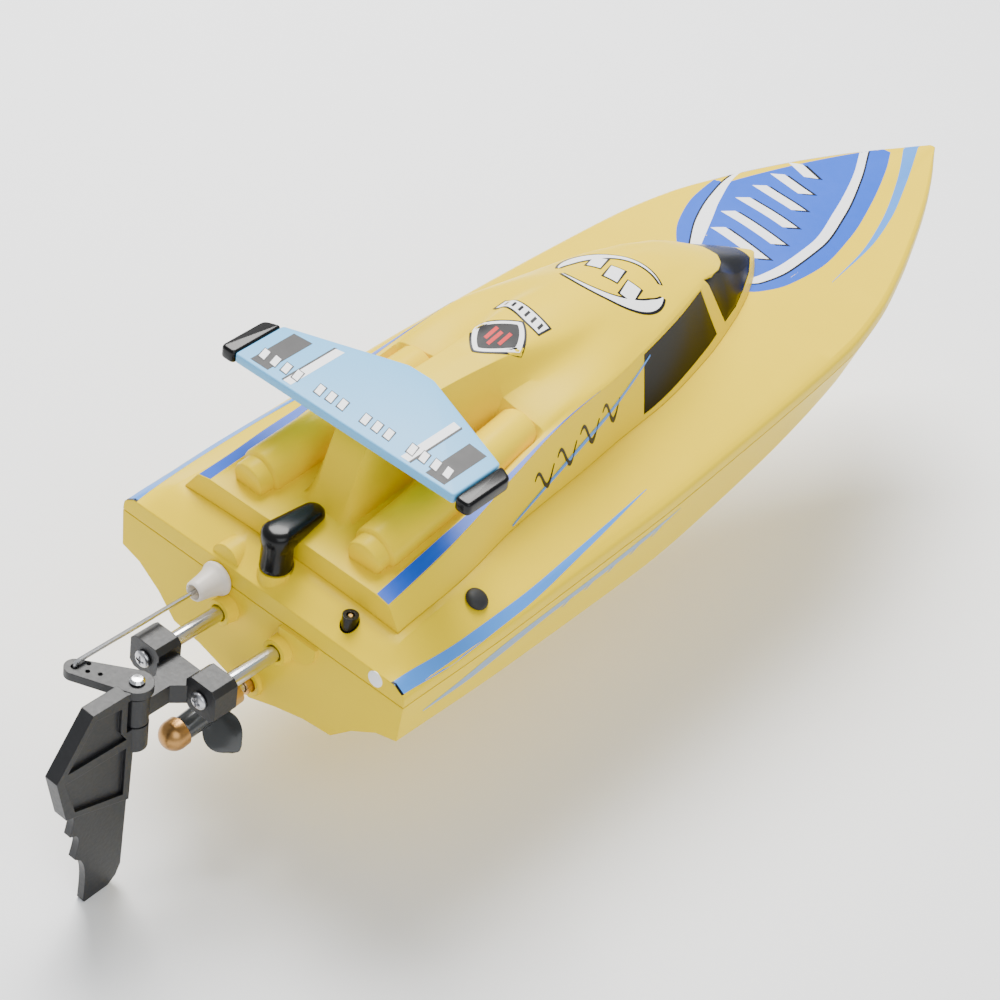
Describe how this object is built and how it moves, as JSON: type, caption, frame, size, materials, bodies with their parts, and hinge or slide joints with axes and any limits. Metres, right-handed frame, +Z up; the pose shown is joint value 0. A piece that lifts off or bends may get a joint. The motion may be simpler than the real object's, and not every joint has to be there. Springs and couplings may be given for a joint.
{
  "type": "radio-controlled boat",
  "caption": "Deep-V model speedboat with lift-off cabin canopy, rear wing, outboard rudder with pushrod, propeller shaft, motor, battery and servo inside.",
  "frame": {"origin": "centre of the boat's bounding box in plan, at the height of the rudder's lower tip, the lowest point", "axes": "+Z up with the keel level; -Y towards the bow, +Y towards the rudder; +X to port"},
  "size_m": [0.096, 0.364, 0.1095],
  "materials": {
    "yellow_shell": "gloss moulded ABS",
    "light_blue": "gloss moulded ABS",
    "gloss_black": "gloss",
    "dark_nylon": "matt glass-filled nylon",
    "stainless": "satin stainless",
    "brass": "satin brass",
    "white_nylon": "semi-matt",
    "silicone": "translucent silicone",
    "black_rubber": "matt rubber",
    "plywood": "sealed plywood",
    "battery_sleeve": "shrink sleeve"
  },
  "bodies": {
    "hull": {"hull_bottom": "yellow_shell", "deck": "yellow_shell", "antenna_socket": "gloss_black", "servo_case": "gloss_black", "receiver": "gloss_black", "rudder_bracket": "dark_nylon", "tube_port": "stainless", "tube_starboard": "stainless", "clamp_screw_port": "stainless", "clamp_screw_starboard": "stainless", "rudder_pin": "stainless", "motor_mount": "stainless", "motor_screw_port": "stainless", "motor_screw_starboard": "stainless", "latch_screw": "stainless", "servo_screw_front": "stainless", "servo_screw_rear": "stainless", "motor": "stainless", "stuffing_tube": "brass", "pushrod_boot": "silicone", "drain_plug": "black_rubber", "battery_strap": "black_rubber", "receiver_pad": "black_rubber", "servo_tray": "plywood", "battery_cradle": "plywood", "battery": "battery_sleeve"},
    "canopy": {"canopy": "yellow_shell", "windshield": "gloss_black", "window_port": "gloss_black", "window_starboard": "gloss_black", "wing": "light_blue", "wing_cap_port": "gloss_black", "wing_cap_starboard": "gloss_black", "wing_screw_front": "stainless", "wing_screw_rear": "stainless"},
    "latch": {"latch_knob": "gloss_black"},
    "rudder": {"rudder": "dark_nylon"},
    "pushrod": {"pushrod": "stainless"},
    "servo_horn": {"servo_horn": "white_nylon"},
    "driveline": {"drive_shaft": "stainless", "shaft_coupling": "brass", "drive_dog": "brass", "propeller": "gloss_black", "prop_nut": "stainless", "motor_shaft": "stainless"}
  },
  "joints": [
    {"name": "canopy_slide", "type": "slide", "parent": "hull", "child": "canopy", "axis": [0, -0.9903, 0.1392], "range_m": [0, 0.21]},
    {"name": "latch_turn", "type": "hinge", "parent": "hull", "child": "latch", "pos_m": [0, 0.11305, 0.076], "axis": [0, 0, 1], "range_deg": [0, 90]},
    {"name": "rudder_turn", "type": "hinge", "parent": "hull", "child": "rudder", "pos_m": [0, 0.15675, 0.056], "axis": [0, 0, 1], "range_deg": [-20, 20]},
    {"name": "pushrod_turn", "type": "hinge", "parent": "rudder", "child": "pushrod", "pos_m": [0.013, 0.16395, 0.0643], "axis": [0, 0, 1], "range_deg": [-18, 18]},
    {"name": "servo_horn_turn", "type": "hinge", "parent": "hull", "child": "servo_horn", "pos_m": [0.0001, 0.08495, 0.0685], "axis": [0, 0, 1], "range_deg": [-21, 21]},
    {"name": "propeller_spin", "type": "hinge", "parent": "hull", "child": "driveline", "pos_m": [0, 0.13795, 0.0377], "axis": [0, -0.9962, 0.0872], "continuous": true}
  ],
  "couplings": [
    {"joint": "pushrod_turn", "follows": "rudder_turn", "ratio": -0.86},
    {"joint": "servo_horn_turn", "follows": "rudder_turn", "ratio": 1.01}
  ]
}
